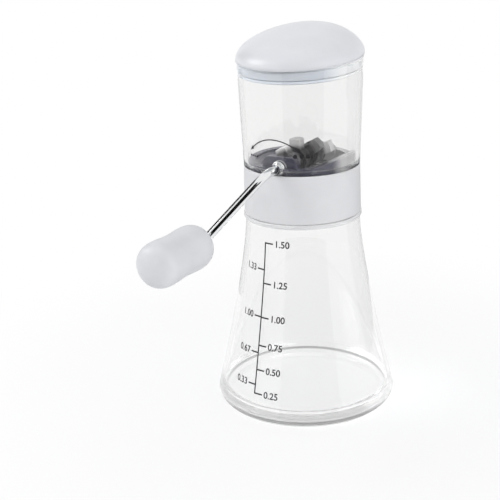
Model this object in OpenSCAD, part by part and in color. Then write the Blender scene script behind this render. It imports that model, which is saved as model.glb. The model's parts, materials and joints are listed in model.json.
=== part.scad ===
// Hand-cranked nut chopper: flared clear jar, collar, clear hopper, star-wheel rotor, crank and lid.
// Millimetres, +Z up, origin at the centre of the jar's flat foot, crank shaft along -Y.

/* [Jar] */
// Height from the foot to the top of the bead that sits under the collar
jar_h = 102.9; // [90:0.1:120]
// Largest outer radius, where the rounded foot ends
jar_foot_r = 47; // [43:0.1:52]
// Outer radius of the jar just below the bead
jar_top_r = 29.4; // [28.4:0.1:30]
// Power of the flare, 1 is a straight cone
jar_flare = 1.3; // [1:0.05:1.8]
// Height of the straight stretch and the bead above the flare
jar_straight_h = 6; // [4:0.5:10]
// Radius of the rounded foot edge
jar_foot_round = 6; // [3:0.5:8]
// Wall thickness
jar_wall = 2.2; // [1.6:0.1:3]
// Floor thickness
jar_floor = 6; // [4:0.1:7]
// How far the bead stands out past the collar
bead_out = 0.4; // [0.1:0.1:1]
// Height of the bead
bead_h = 1.7; // [1:0.1:2.5]
// Radius of the inside corner of the floor
jar_in_round = 5; // [3:0.5:8]

/* [Neck and thread] */
// Outer radius of the neck, without its thread
neck_r = 25.4; // [24.6:0.1:26.4]
// Wall of the neck
neck_wall = 2.4; // [1.8:0.1:3]
// Height of the neck above the bead
neck_h = 12.1; // [11:0.1:14]
// Height of a thread ridge, measured outwards
thread_depth = 1.2; // [0.9:0.1:1.4]
// Gap between the thread ridge and the collar's bore
thread_gap = 0.9; // [0.6:0.1:1.2]
// Rise of the thread in one turn, four starts
thread_lead = 12; // [10:0.5:14]
// Thickness of a thread ridge at its root
thread_t = 1.2; // [0.8:0.1:1.3]
// Turn covered by each thread ridge in degrees
thread_sweep = 96; // [60:1:110]
// Height of the thread's start above the bead
thread_z = 3.4; // [3:0.1:4]
// How deep a thread ridge is rooted in its wall
thread_root = 0.5; // [0.3:0.1:0.8]

/* [Collar] */
// Height of the collar
collar_h = 24.2; // [22.5:0.1:27]
// Wall of the collar at its top edge
collar_wall = 2; // [1.6:0.1:2.6]
// How much wider the collar is at its bottom edge
collar_taper = 0.35; // [0:0.05:0.6]
// Gap between the jar's bead and the collar
collar_gap = 0.3; // [0.2:0.05:0.6]

/* [Hopper] */
// Height of the hopper above the collar, at its axis
hopper_h = 53.4; // [48:0.1:64]
// Outer radius at the rim
hopper_top_r = 31.3; // [30.8:0.1:32.5]
// Wall thickness
hopper_wall = 2; // [1.6:0.1:2.4]
// Slant of the rim in degrees, low at the crank side
rim_slant = 4.6; // [0:0.1:7]
// Radial gap between the hopper's spigot and the collar
spigot_gap = 0.15; // [0.1:0.05:0.3]
// Thickness of the lip at the foot of the spigot
lip_t = 1.8; // [1.4:0.1:2.4]
// Width of that lip
lip_w = 2.4; // [1.6:0.1:3]
// Wall of the spigot inside the collar
spigot_wall = 2.2; // [1.6:0.1:2.4]
// Thickness of the step that sits on the collar
step_t = 2; // [1.6:0.1:2.4]
// Gap between the hopper and what it stands on, and between the lid and the rim
seat_gap = 0.1; // [0.05:0.01:0.2]
// Gap between the rod and the hole it passes through
hole_gap = 0.4; // [0.3:0.05:0.6]

/* [Seals] */
// Thickness of the seal on the jar's neck
seal_t = 1.5; // [1:0.1:2]
// Gap left above and below a seal
seal_gap = 0.05; // [0.02:0.01:0.1]
// Thickness of the ring of the lid's seal
lid_seal_t = 1.6; // [1.2:0.1:2.2]

/* [Tray and combs] */
// Gap between the tray and the hopper around it
tray_gap = 0.25; // [0.15:0.05:0.4]
// Thickness of the tray's rim flange
tray_flange_t = 1.1; // [0.8:0.1:1.6]
// Wall of the ring around the combs
tray_ring_w = 1.5; // [1.1:0.1:1.8]
// Half width of a bearing block
block_half_w = 9.2; // [7:0.1:9.6]
// Thickness of a bearing block
block_t = 3.2; // [2.6:0.1:3.5]
// Height of the front bearing block above the shaft
block_rise = 5.3; // [4.8:0.1:8]
// Height of the rear bearing block above the shaft, less than the bush so that it snaps in
rear_rise = 3; // [2.6:0.1:3.2]
// Radius of the top corners of a bearing block
block_round = 3.6; // [1:0.1:4.4]
// Thickness of a comb plate
comb_t = 1.6; // [1:0.1:2]
// How far a comb's top lies below the shaft
comb_drop = 2.9; // [2.4:0.1:3.4]
// Gap between a comb's fingers and the hubs
finger_gap = 1.2; // [0.8:0.1:2]
// Gap between the rotor and the sides of the throat
throat_gap = 0.4; // [0.3:0.05:0.6]
// Slope of the guide on the coarse side of the throat in degrees
coarse_slope = 8; // [6:1:24]
// Slope of the guide on the fine side of the throat in degrees
fine_slope = 22; // [6:1:24]
// Thickness of a guide at its edge by the throat
guide_edge = 0.8; // [0.6:0.1:1.2]
// Width of a finger of the coarse comb
coarse_w = 1.8; // [1.2:0.1:2.6]
// Width of a finger of the fine comb
fine_w = 3; // [2.2:0.1:3.2]
// Distance of the comb screws from the middle, across the shaft
screw_x = 17.6; // [16.6:0.1:18.4]
// Distance of the comb screws from the middle, along the shaft
screw_y = 8; // [5:0.1:10]
// Radius of a comb screw's shank
screw_r = 1.2; // [1:0.05:1.4]
// Radius of a comb screw's head
screw_head_r = 2.3; // [2:0.1:2.6]
// Height of a comb screw's head
screw_head_h = 1.5; // [1.2:0.1:1.8]
// Width and depth of the slot in a comb screw's head
screw_slot = 0.7; // [0.5:0.05:0.9]

/* [Rotor] */
// Radius over the tips of the star wheels
rotor_r = 11.2; // [10.2:0.1:12]
// Radius over the tips of the star wheel next to the front bearing
first_r = 8.8; // [8.4:0.1:10.2]
// Radius at the roots of the tines
root_r = 6; // [5.4:0.1:7]
// Radius of a star wheel's hub
hub_r = 4.4; // [4:0.1:5]
// Thickness of a star wheel
wheel_t = 5; // [4:0.1:5.2]
// Distance between star wheels
wheel_pitch = 9.2; // [9:0.05:9.3]
// Number of tines on a star wheel
tines = 2; // [2:1:4]
// Width of a tine
tine_w = 5.8; // [4:0.1:6.4]
// Turn of the first star wheel against the crank's arm in degrees
wheel_turn = 150; // [0:1:180]
// Turn from the first to the second star wheel of a pair in degrees
wheel_step = 22; // [0:1:60]
// Turn from the front pair of star wheels to the rear pair in degrees
pair_step = 69; // [0:1:120]

/* [Bushes] */
// Outer radius of a shaft bush
bush_r = 3.8; // [3.4:0.05:4]
// Thickness of a shaft bush's flange
bush_flange_t = 1; // [0.8:0.05:1.1]
// Radius of a shaft bush's flange
bush_flange_r = 5; // [4.6:0.1:6]
// Running gap between the rod and a bush
bush_gap = 0.05; // [0.02:0.01:0.08]
// Side gap of the rotor
side_gap = 0.2; // [0.15:0.05:0.3]

/* [Crank] */
// Diameter of the rod
rod_d = 4.4; // [4:0.1:4.8]
// Height of the rod's underside above the collar
rod_rise = 0.7; // [0.5:0.1:1.4]
// Distance of the grip from the shaft
throw = 36.8; // [30:0.1:42]
// Distance from the jar's axis to the first bend
bend_1_s = 37.5; // [37.2:0.1:44]
// Distance from the jar's axis to the second bend
bend_2_s = 59.8; // [54:0.1:62]
// Radius of the first bend
bend_1_r = 12; // [8:0.1:12.6]
// Radius of the second bend
bend_2_r = 4.5; // [4:0.1:7]
// Angle of the crank from hanging straight down, as it stands, in degrees
crank_rest = 36.5; // [0:0.5:90]
// Radius of the stop ring in front of the bearing
stop_r = 3.5; // [3:0.1:4]
// Thickness of the stop ring
stop_t = 1.6; // [1:0.1:1.8]
// Thickness of a retaining clip
clip_t = 0.8; // [0.6:0.05:0.9]
// Radius of a retaining clip
clip_r = 3.5; // [3:0.1:3.6]
// Depth of a clip's groove in the rod
groove = 0.6; // [0.4:0.05:0.8]
// Side gap of a clip or stop ring
clip_gap = 0.2; // [0.15:0.05:0.3]
// Length of the rod behind its rear clip
rod_tail = 0.7; // [0.5:0.1:0.8]
// Depth of the drive flat on the rod
flat_depth = 0.7; // [0.5:0.05:0.9]

/* [Grip] */
// Length of the grip
grip_len = 42.6; // [38:0.1:60]
// Radius of the grip's two swellings
grip_r = 11.1; // [9.5:0.1:13]
// Waist of the grip, as a share of its radius
grip_waist = 0.07; // [0:0.01:0.2]
// Spread of the grip's waist, as a share of half its length
grip_waist_span = 0.33; // [0.2:0.01:0.6]
// Power that sets how square the grip's ends are
grip_end = 8; // [3:0.1:10]
// Outer radius of the bush inside the grip
grip_bush_r = 4.2; // [3.9:0.1:5]
// Length of the bush inside the grip
grip_bush_len = 11.5; // [8:0.1:14]
// Gap between the second bend and the grip
grip_gap = 0.9; // [0.7:0.1:4]
// How far the bush is set back from the grip's inner end
grip_bush_in = 0.9; // [0.8:0.1:2]
// Thickness of the grip's closed outer end
grip_cover = 9; // [6:0.5:14]

/* [Lid] */
// Overhang of the dome's edge past the hopper's rim
dome_lap = 0.5; // [0.1:0.1:1.7]
// Height of the dome above its edge
dome_h = 13.7; // [11:0.1:18]
// How far the crown leans to the back
dome_lean = 7.8; // [0:0.1:10]
// Height of the upright edge below the dome
dome_edge = 1; // [0.5:0.1:2]
// Wall of the dome
dome_wall = 2.3; // [2:0.1:3]
// Depth of the liner below the rim, at the axis
liner_depth = 7.2; // [6.5:0.1:9]
// Radial gap between the liner and the hopper's bore
liner_gap = 0.75; // [0.6:0.05:1]
// Wall of the liner
liner_wall = 1.6; // [1.2:0.1:2.2]
// Height of the narrower step under the liner
liner_step = 2.2; // [1:0.1:4]
// How much narrower that step is
liner_step_in = 1.8; // [1:0.1:3]
// Height of the lid's seal above the liner's foot
lid_seal_z = 1.2; // [0.8:0.1:2]
// Depth of the seal's groove in the liner
lid_seal_in = 0.6; // [0.4:0.05:0.8]
// Thickness of the flange at the top of the liner
liner_flange_t = 0.8; // [0.6:0.05:1]
// Gap between the liner and the inside of the dome
liner_dome_gap = 0.35; // [0.3:0.05:0.5]

/* [Hidden] */
$fn = 96;
rod_r = rod_d / 2;
fit = 0.04;
play = 0.3;
eps = 0.01;
chamfer = 0.35;
lap = 0.5;
bend_fat = 0.05;
tall = 20;

collar_in_r = neck_r + thread_depth + thread_gap;
collar_top_r = collar_in_r + collar_wall;
collar_bot_r = collar_top_r + collar_taper;
bead_r = collar_bot_r + bead_out;
neck_z = jar_h + neck_h;
collar_z = jar_h + collar_gap;
collar_top_z = collar_z + collar_h;
collar_thread_z = jar_h + thread_z - thread_lead / 8;
flare_z = jar_h - jar_straight_h;
flare_d = flare_z - jar_foot_round;

spigot_r = collar_in_r - spigot_gap;
spigot_in_r = spigot_r - spigot_wall;
spigot_z = neck_z + seal_t + 2 * seal_gap;
hopper_z = collar_top_z + seat_gap;
hopper_foot_r = collar_top_r - seat_gap;
hopper_in_r = hopper_foot_r - hopper_wall;
step_z = hopper_z + step_t;
rim_z = hopper_z + hopper_h;
rim_in_r = hopper_top_r - hopper_wall;
rim_k = tan(rim_slant);
rim_spare = hopper_top_r * rim_k + 4;

shaft_z = collar_top_z + rod_rise + rod_r;
wall_y = 2 * wheel_pitch + bush_flange_t + side_gap;
tray_r = spigot_in_r - tray_gap;
tray_z = spigot_z + lip_t + clip_gap;
land_z = shaft_z - comb_drop - comb_t;
flange_z = step_z + seat_gap;
flange_top_z = flange_z + tray_flange_t;
throat_x = rotor_r + throat_gap;
ring_in_r = tray_r - tray_ring_w;
comb_tip_x = hub_r + finger_gap;
comb_in = 0.2;

bend_turn = atan2(throw, bend_2_s - bend_1_s);
bend_1_t = bend_1_r * tan(bend_turn / 2);
bend_2_t = bend_2_r * tan(bend_turn / 2);
arm_len = norm([throw, bend_2_s - bend_1_s]) - bend_1_t - bend_2_t;
rear_clip_s = wall_y + block_t + clip_gap + clip_t;
rear_s = rear_clip_s + rod_tail;
grip_s = bend_2_s + bend_2_t + grip_gap;
pin_end = grip_s + grip_len - grip_cover;
grip_bush_s = grip_s + grip_bush_in;
grip_clip_s = grip_bush_s + grip_bush_len + clip_gap;
stop_s = wall_y + block_t + clip_gap;

liner_z = rim_z - liner_depth;
liner_r = liner_bore(liner_z - liner_step) - liner_gap;
dome_r = hopper_top_r + dome_lap;
dome_in_r = dome_r - dome_wall;

// Bore radius of the hopper at a height
function liner_bore(z) = hopper_in_r + (rim_in_r - hopper_in_r) * (z - hopper_z) / hopper_h;

// Outer radius of the jar at a height: top radius plus the flare to a power
function jar_r(z) = jar_top_r + (jar_foot_r - jar_top_r) * pow((flare_z - z) / flare_d, jar_flare);

// Points of an arc
function arc(cx, cz, r, a0, a1, n) =
  [for (i = [0:n]) let (a = a0 + (a1 - a0) * i / n) [cx + r * cos(a), cz + r * sin(a)]];

// Radius of the grip along its length, t from -1 to 1
function grip_at(t) =
  grip_r * sqrt(max(0, 1 - pow(abs(t), grip_end))) * (1 - grip_waist * exp(-pow(t / grip_waist_span, 2)));

// Point of the dome: an oval profile whose centre drifts back with height, on the slanted rim plane
function dome_pt(r, h, lean, a, b) =
  let (q = sin(a), c = r * pow(cos(a), 0.92), y = c * sin(b) + lean * pow(q, 3.8))
  [c * cos(b), y, h * pow(q, 1.05) + rim_k * y];

// Frame of the crank: X runs outwards along the shaft, Y towards the grip
module crank_frame() {
  translate([0, 0, shaft_z])
    rotate([0, 0, -90])
      rotate([-crank_rest, 0, 0])
        rotate([-90, 0, 0])
          children();
}

// Cylinder along the shaft from one distance to another
module along(s0, s1, r) {
  translate([s0, 0, 0])
    rotate([0, 90, 0])
      cylinder(h = s1 - s0, r = r);
}

// One helical ridge, from its root radius to its crest radius
module ridge(root, crest, z0) {
  n = 20;
  k = thread_t / 2;
  c = thread_t * 0.3;
  out = crest > root;
  sec = out
    ? [[root, -k], [crest, -c], [crest, c], [root, k]]
    : [[crest, -c], [root, -k], [root, k], [crest, c]];
  pts = [
    for (i = [0:n])
      let (a = thread_sweep * i / n, dz = thread_lead * a / 360)
        for (p = sec) [p[0] * cos(a), p[0] * sin(a), z0 + dz + p[1]]
  ];
  sides = [
    for (i = [0:n - 1])
      for (j = [0:3])
        let (a = 4 * i + j, b = 4 * i + (j + 1) % 4)
          for (t = [[a, b, a + 4], [b, b + 4, a + 4]]) t
  ];
  caps = [[0, 2, 1], [0, 3, 2], [4 * n, 4 * n + 1, 4 * n + 2], [4 * n, 4 * n + 2, 4 * n + 3]];
  polyhedron(points = pts, faces = concat(sides, caps), convexity = 4);
}

// Solid dome standing on the slanted rim plane, with an upright edge below it
module dome_solid(r, h, lean, edge) {
  na = 48;
  nr = 10;
  rings = [
    for (i = [-1:nr - 1])
      for (j = [0:na - 1])
        let (p = dome_pt(r, h, lean, max(0, i) * 90 / nr, j * 360 / na))
          [p[0], p[1], p[2] + (i < 0 ? -edge : 0)]
  ];
  top = dome_pt(r, h, lean, 90, 0);
  pts = concat(rings, [top, [0, 0, -edge]]);
  it = (nr + 1) * na;
  sides = [
    for (i = [0:nr - 1])
      for (j = [0:na - 1])
        let (a = i * na + j, b = i * na + (j + 1) % na)
          for (t = [[a, a + na, b], [b, a + na, b + na]]) t
  ];
  crown = [for (j = [0:na - 1]) [nr * na + j, it, nr * na + (j + 1) % na]];
  base = [for (j = [0:na - 1]) [(j + 1) % na, it + 1, j]];
  polyhedron(points = pts, faces = concat(sides, crown, base), convexity = 6);
}

// Everything above the slanted rim plane, lifted by dz
module above_rim(dz) {
  translate([0, 0, rim_z + dz])
    rotate([rim_slant, 0, 0])
      translate([-60, -60, 0])
        cube([120, 120, 60]);
}

module jar() {
  n = 16;
  inner_z = jar_floor + jar_in_round;
  outer = [for (i = [1:n]) let (z = jar_foot_round + flare_d * i / n) [jar_r(z), z]];
  inner = [for (i = [0:n]) let (z = flare_z - (flare_z - inner_z) * i / n) [jar_r(z) - jar_wall, z]];
  color([0.92, 0.95, 0.96, 0.4]) {
    rotate_extrude()
      polygon(concat(
        [[0, 0]],
        arc(jar_foot_r - jar_foot_round, jar_foot_round, jar_foot_round, -90, 0, 8),
        outer,
        [[jar_top_r, jar_h - bead_h - chamfer], [bead_r, jar_h - bead_h], [bead_r, jar_h - chamfer]],
        [[bead_r - chamfer, jar_h], [neck_r, jar_h], [neck_r, neck_z - chamfer]],
        [[neck_r - chamfer, neck_z], [neck_r - neck_wall, neck_z], [neck_r - neck_wall, jar_h - jar_wall]],
        inner,
        arc(jar_r(inner_z) - jar_wall - jar_in_round, inner_z, jar_in_round, 0, -90, 6),
        [[0, jar_floor]]
      ));
    for (i = [0:3])
      rotate([0, 0, 90 * i])
        ridge(neck_r - thread_root, neck_r + thread_depth, jar_h + thread_z);
  }
}

module jar_seal() {
  color([0.3, 0.3, 0.32])
    translate([0, 0, neck_z + seal_gap])
      difference() {
        cylinder(h = seal_t, r = neck_r - chamfer);
        translate([0, 0, -1])
          cylinder(h = seal_t + 2, r = neck_r - neck_wall + chamfer);
      }
}

module collar() {
  color([0.87, 0.88, 0.89]) {
    difference() {
      translate([0, 0, collar_z])
        cylinder(h = collar_h, r1 = collar_bot_r, r2 = collar_top_r);
      translate([0, 0, collar_z - 1])
        cylinder(h = collar_h + 2, r = collar_in_r);
    }
    for (i = [0:3])
      rotate([0, 0, 90 * i])
        ridge(collar_in_r + thread_root, collar_in_r - thread_gap - thread_depth / 2, collar_thread_z);
  }
}

module hopper() {
  color([0.93, 0.95, 0.96, 0.4])
    difference() {
      union() {
        translate([0, 0, hopper_z])
          cylinder(h = hopper_h + rim_spare, r1 = hopper_foot_r,
                   r2 = hopper_foot_r + (hopper_top_r - hopper_foot_r) * (hopper_h + rim_spare) / hopper_h);
        translate([0, 0, spigot_z])
          cylinder(h = hopper_z - spigot_z + 1, r = spigot_r);
      }
      translate([0, 0, step_z])
        cylinder(h = hopper_h + rim_spare, r1 = liner_bore(step_z), r2 = liner_bore(step_z + hopper_h + rim_spare));
      translate([0, 0, spigot_z + lip_t])
        cylinder(h = step_z - spigot_z, r = spigot_in_r);
      translate([0, 0, spigot_z - 1])
        cylinder(h = lip_t + 2, r = spigot_in_r - lip_w);
      above_rim(0);
      translate([0, -wall_y, shaft_z])
        rotate([90, 0, 0])
          cylinder(h = hopper_top_r, r = rod_r + hole_gap);
    }
}

module bearing_block(rise) {
  h = shaft_z + rise - tray_z;
  w = block_half_w;
  translate([0, 0, tray_z])
    rotate([90, 0, 0])
      linear_extrude(height = block_t)
        union() {
          translate([-w, 0])
            square([2 * w, h - block_round]);
          translate([-w + block_round, 0])
            square([2 * (w - block_round), h]);
          for (sx = [-1, 1])
            translate([sx * (w - block_round), h - block_round])
              circle(r = block_round);
        }
}

// Sloping guide on the +X side, from the edge of the throat up to the hopper's wall
module guide(slope) {
  low = land_z + comb_t + 2 * fit + guide_edge;
  intersection() {
    union() {
      translate([0, 0, land_z])
        cylinder(h = tall, r = tray_r);
      translate([0, 0, flange_z])
        cylinder(h = tall, r = hopper_in_r - tray_gap);
    }
    translate([0, hopper_in_r, 0])
      rotate([90, 0, 0])
        linear_extrude(height = 2 * hopper_in_r)
          polygon([
            [throat_x, land_z],
            [hopper_in_r, land_z],
            [hopper_in_r, low + (hopper_in_r - throat_x) * tan(slope)],
            [throat_x, low]
          ]);
  }
}

// Slots that the comb plates slide into from the throat
module comb_slots() {
  intersection() {
    translate([0, 0, land_z])
      cylinder(h = comb_t + 2 * fit, r = ring_in_r);
    translate([-ring_in_r, -wall_y, land_z])
      cube([2 * ring_in_r, 2 * wall_y, comb_t + 2 * fit]);
  }
}

module tray() {
  color([0.25, 0.25, 0.28])
    difference() {
      union() {
        difference() {
          union() {
            translate([0, 0, tray_z])
              cylinder(h = flange_top_z - tray_z, r = tray_r);
            translate([0, 0, flange_z])
              cylinder(h = tray_flange_t, r = hopper_in_r - tray_gap);
          }
          translate([0, 0, land_z])
            cylinder(h = tall, r = ring_in_r);
        }
        guide(fine_slope);
        mirror([1, 0, 0])
          guide(coarse_slope);
        translate([0, -wall_y, 0])
          bearing_block(block_rise);
        translate([0, wall_y + block_t, 0])
          bearing_block(rear_rise);
      }
      translate([-throat_x, -wall_y, tray_z - 1])
        cube([2 * throat_x, 2 * wall_y, 2 * tall]);
      comb_slots();
      translate([0, hopper_in_r, shaft_z])
        rotate([90, 0, 0])
          cylinder(h = 2 * hopper_in_r, r = bush_r + fit);
      translate([-bush_r, -hopper_in_r, shaft_z])
        cube([2 * bush_r, hopper_in_r - wall_y - block_t, block_rise]);
      translate([-bush_r, wall_y + block_t, shaft_z])
        cube([2 * bush_r, hopper_in_r - wall_y - block_t, block_rise]);
      for (sx = [-1, 1])
        for (sy = [-1, 1])
          translate([sx * screw_x, sy * screw_y, tray_z - 1])
            cylinder(h = land_z - tray_z + 1 + fit, r = screw_r + fit);
    }
}

// One comb on the +X side of the throat
module comb(w) {
  difference() {
    union() {
      intersection() {
        translate([0, 0, land_z + fit])
          cylinder(h = comb_t, r = ring_in_r - comb_in);
        translate([throat_x + comb_in, comb_in - wall_y, land_z + fit])
          cube([ring_in_r, 2 * (wall_y - comb_in), comb_t]);
      }
      for (i = [-1:1])
        translate([comb_tip_x, i * wheel_pitch - w / 2, land_z + fit])
          cube([throat_x + 2 - comb_tip_x, w, comb_t]);
    }
    for (sy = [-1, 1])
      translate([screw_x, sy * screw_y, land_z - 1])
        cylinder(h = comb_t + 3, r = screw_r + fit);
  }
}

module coarse_comb() {
  color([0.72, 0.73, 0.75])
    mirror([1, 0, 0])
      comb(coarse_w);
}

module fine_comb() {
  color([0.72, 0.73, 0.75])
    comb(fine_w);
}

module comb_screws() {
  color([0.75, 0.76, 0.78])
    for (sx = [-1, 1])
      for (sy = [-1, 1])
        translate([sx * screw_x, sy * screw_y, tray_z - fit]) {
          rotate([180, 0, 0])
            difference() {
              cylinder(h = screw_head_h, r1 = screw_head_r, r2 = screw_head_r * 0.8);
              translate([-screw_slot / 2, -screw_head_r, screw_head_h - screw_slot])
                cube([screw_slot, 2 * screw_head_r, screw_head_h]);
            }
          translate([0, 0, -lap])
            cylinder(h = land_z + comb_t - tray_z + lap, r = screw_r);
        }
}

// Flanged bush, its flange towards the rotor
module shaft_bush() {
  rotate([90, 0, 0])
    difference() {
      union() {
        cylinder(h = bush_flange_t, r = bush_flange_r);
        cylinder(h = bush_flange_t + block_t, r = bush_r);
      }
      translate([0, 0, -1])
        cylinder(h = bush_flange_t + block_t + 2, r = rod_r + bush_gap);
    }
}

module front_bush() {
  color([0.55, 0.56, 0.58])
    translate([0, -wall_y + bush_flange_t, shaft_z])
      shaft_bush();
}

module rear_bush() {
  color([0.55, 0.56, 0.58])
    translate([0, wall_y - bush_flange_t, shaft_z])
      mirror([0, 1, 0])
        shaft_bush();
}

module crank_rod() {
  a = bend_turn;
  arm_x = bend_1_s - bend_1_t + bend_1_r * sin(a);
  arm_y = bend_1_r - bend_1_r * cos(a);
  end_x = arm_x + arm_len * cos(a);
  end_y = arm_y + arm_len * sin(a);
  color([0.8, 0.81, 0.82])
    crank_frame()
      difference() {
        union() {
          along(-rear_s, bend_1_s - bend_1_t + lap, rod_r);
          translate([bend_1_s - bend_1_t, bend_1_r, 0])
            rotate([0, 0, -90])
              rotate_extrude(angle = a)
                translate([bend_1_r, 0])
                  circle(r = rod_r + bend_fat);
          translate([arm_x, arm_y, 0])
            rotate([0, 0, a])
              along(-lap, arm_len + lap, rod_r);
          translate([end_x + bend_2_r * sin(a), end_y - bend_2_r * cos(a), 0])
            rotate([0, 0, 90])
              rotate_extrude(angle = a)
                translate([bend_2_r, 0])
                  circle(r = rod_r + bend_fat);
          translate([0, throw, 0])
            along(bend_2_s + bend_2_t - lap, pin_end, rod_r);
        }
        translate([-2 * wheel_pitch, rod_r - flat_depth, -rod_r])
          cube([4 * wheel_pitch, rod_r, 2 * rod_r]);
        clip_groove(-rear_clip_s);
        translate([0, throw, 0])
          clip_groove(grip_clip_s);
      }
}

// Groove for a clip that starts at distance s along the rod
module clip_groove(s) {
  difference() {
    along(s, s + clip_t, rod_r + 1);
    along(s - 1, s + clip_t + 1, rod_r - groove);
  }
}

// Open retaining clip that starts at distance s along the rod
module clip(s) {
  mouth = rod_r - groove;
  difference() {
    along(s + fit, s + clip_t - fit, clip_r);
    along(s - 1, s + clip_t + 1, rod_r - groove + fit);
    translate([s - 1, -clip_r - 1, -mouth / 2])
      cube([clip_t + 2, clip_r + 1, mouth]);
  }
}

module stop_ring() {
  color([0.8, 0.81, 0.82])
    crank_frame()
      difference() {
        along(stop_s, stop_s + stop_t, stop_r);
        along(stop_s - 1, stop_s + stop_t + 1, rod_r + fit / 2);
      }
}

module rear_clip() {
  color([0.6, 0.61, 0.63])
    crank_frame()
      clip(-rear_clip_s);
}

// Plate of a star wheel: tines of even width, cut to the radius of its tips
module star_plate(tip_r) {
  cylinder(h = wheel_t, r = root_r);
  intersection() {
    cylinder(h = wheel_t, r = tip_r);
    for (j = [0:tines - 1])
      rotate([0, 0, j * 360 / tines])
        translate([0, -tine_w / 2, 0])
          cube([tip_r + 1, tine_w, wheel_t]);
  }
}

// One star wheel: blunt tines and a long hub on a flatted bore
module star_wheel(i) {
  s = (i - 2.5) * -wheel_pitch;
  turn = wheel_turn - (i - 1) % 2 * wheel_step - floor((i - 1) / 2) * pair_step;
  color([0.5, 0.5, 0.52])
    crank_frame()
      translate([s, 0, 0])
        difference() {
          union() {
            rotate([0, 90, 0])
              rotate([0, 0, turn])
                translate([0, 0, -wheel_t / 2])
                  star_plate(i == 1 ? first_r : rotor_r);
            along(fit - wheel_pitch / 2, wheel_pitch / 2 - fit, hub_r);
          }
          difference() {
            along(-wheel_pitch, wheel_pitch, rod_r + fit);
            translate([-wheel_pitch, rod_r - flat_depth + fit, -rod_r - 1])
              cube([2 * wheel_pitch, rod_r, 2 * rod_r + 2]);
          }
        }
}

module star_wheel_1() {
  star_wheel(1);
}

module star_wheel_2() {
  star_wheel(2);
}

module star_wheel_3() {
  star_wheel(3);
}

module star_wheel_4() {
  star_wheel(4);
}

module grip() {
  n = 20;
  half = grip_len / 2;
  side = [for (i = [-n:n]) let (t = sin(90 * i / n)) [grip_at(t), half * t]];
  color([0.84, 0.85, 0.87])
    crank_frame()
      translate([0, throw, 0])
        difference() {
          translate([grip_s + half, 0, 0])
            rotate([0, 90, 0])
              rotate_extrude()
                polygon(side);
          along(grip_s - 1, grip_clip_s + 2 * clip_t, grip_bush_r + fit);
          along(grip_s - 1, pin_end + 1, rod_r + hole_gap);
        }
}

module grip_bush() {
  color([0.6, 0.61, 0.63])
    crank_frame()
      translate([0, throw, 0])
        difference() {
          along(grip_bush_s, grip_bush_s + grip_bush_len, grip_bush_r);
          along(grip_bush_s - 1, grip_bush_s + grip_bush_len + 1, rod_r + bush_gap);
        }
}

module grip_clip() {
  color([0.6, 0.61, 0.63])
    crank_frame()
      translate([0, throw, 0])
        clip(grip_clip_s);
}

module lid_dome() {
  color([0.87, 0.89, 0.91])
    translate([0, 0, rim_z + seat_gap + dome_edge])
      difference() {
        dome_solid(dome_r, dome_h, dome_lean, dome_edge);
        dome_solid(dome_in_r, dome_h - dome_wall, dome_lean * dome_in_r / dome_r, dome_edge + 1);
      }
}

module lid_liner() {
  color([0.8, 0.83, 0.87])
    difference() {
      union() {
        translate([0, 0, liner_z])
          cylinder(h = liner_depth + rim_spare, r = liner_r);
        translate([0, 0, liner_z - liner_step])
          cylinder(h = liner_step + liner_wall, r = liner_r - liner_step_in);
        intersection() {
          translate([0, 0, liner_z])
            cylinder(h = liner_depth + rim_spare, r = dome_in_r - liner_dome_gap);
          above_rim(seat_gap);
        }
      }
      above_rim(seat_gap + liner_flange_t);
      translate([0, 0, liner_z + liner_wall])
        cylinder(h = liner_depth + rim_spare, r = liner_r - liner_wall);
      translate([0, 0, liner_z - liner_step - 1])
        cylinder(h = liner_step + 1, r = liner_r - liner_step_in - liner_wall);
      difference() {
        translate([0, 0, liner_z + lid_seal_z])
          cylinder(h = lid_seal_t + 2 * seal_gap, r = liner_r + 1);
        translate([0, 0, liner_z])
          cylinder(h = liner_depth, r = liner_r - lid_seal_in);
      }
    }
}

module lid_seal() {
  color([0.7, 0.73, 0.77])
    translate([0, 0, liner_z + lid_seal_z + seal_gap])
      difference() {
        cylinder(h = lid_seal_t, r = liner_r + liner_gap - play);
        translate([0, 0, -1])
          cylinder(h = lid_seal_t + 2, r = liner_r - lid_seal_in + fit);
      }
}

jar();
jar_seal();
collar();
hopper();
tray();
coarse_comb();
fine_comb();
comb_screws();
front_bush();
rear_bush();
crank_rod();
stop_ring();
rear_clip();
star_wheel_1();
star_wheel_2();
star_wheel_3();
star_wheel_4();
grip();
grip_bush();
grip_clip();
lid_dome();
lid_liner();
lid_seal();
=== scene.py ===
import json
import math

import bmesh
import bpy
import numpy as np
from mathutils import Matrix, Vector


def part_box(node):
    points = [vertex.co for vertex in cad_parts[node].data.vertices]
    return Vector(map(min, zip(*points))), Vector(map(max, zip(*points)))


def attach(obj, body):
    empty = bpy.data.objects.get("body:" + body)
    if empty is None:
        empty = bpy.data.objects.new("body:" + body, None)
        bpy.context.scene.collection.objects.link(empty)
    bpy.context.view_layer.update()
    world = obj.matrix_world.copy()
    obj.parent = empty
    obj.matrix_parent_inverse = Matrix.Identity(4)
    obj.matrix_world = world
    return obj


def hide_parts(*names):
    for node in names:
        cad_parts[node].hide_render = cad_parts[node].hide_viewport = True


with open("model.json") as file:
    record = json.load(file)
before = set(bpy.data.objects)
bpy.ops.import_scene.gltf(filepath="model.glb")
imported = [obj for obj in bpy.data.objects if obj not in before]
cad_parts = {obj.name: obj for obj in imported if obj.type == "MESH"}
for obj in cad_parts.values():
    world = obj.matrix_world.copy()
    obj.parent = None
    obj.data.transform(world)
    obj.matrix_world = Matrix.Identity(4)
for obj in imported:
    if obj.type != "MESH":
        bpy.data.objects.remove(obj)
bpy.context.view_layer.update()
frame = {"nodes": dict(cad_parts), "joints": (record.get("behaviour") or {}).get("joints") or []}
mm = 0.001
print("frame:", len(frame["nodes"]), "nodes")

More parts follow.
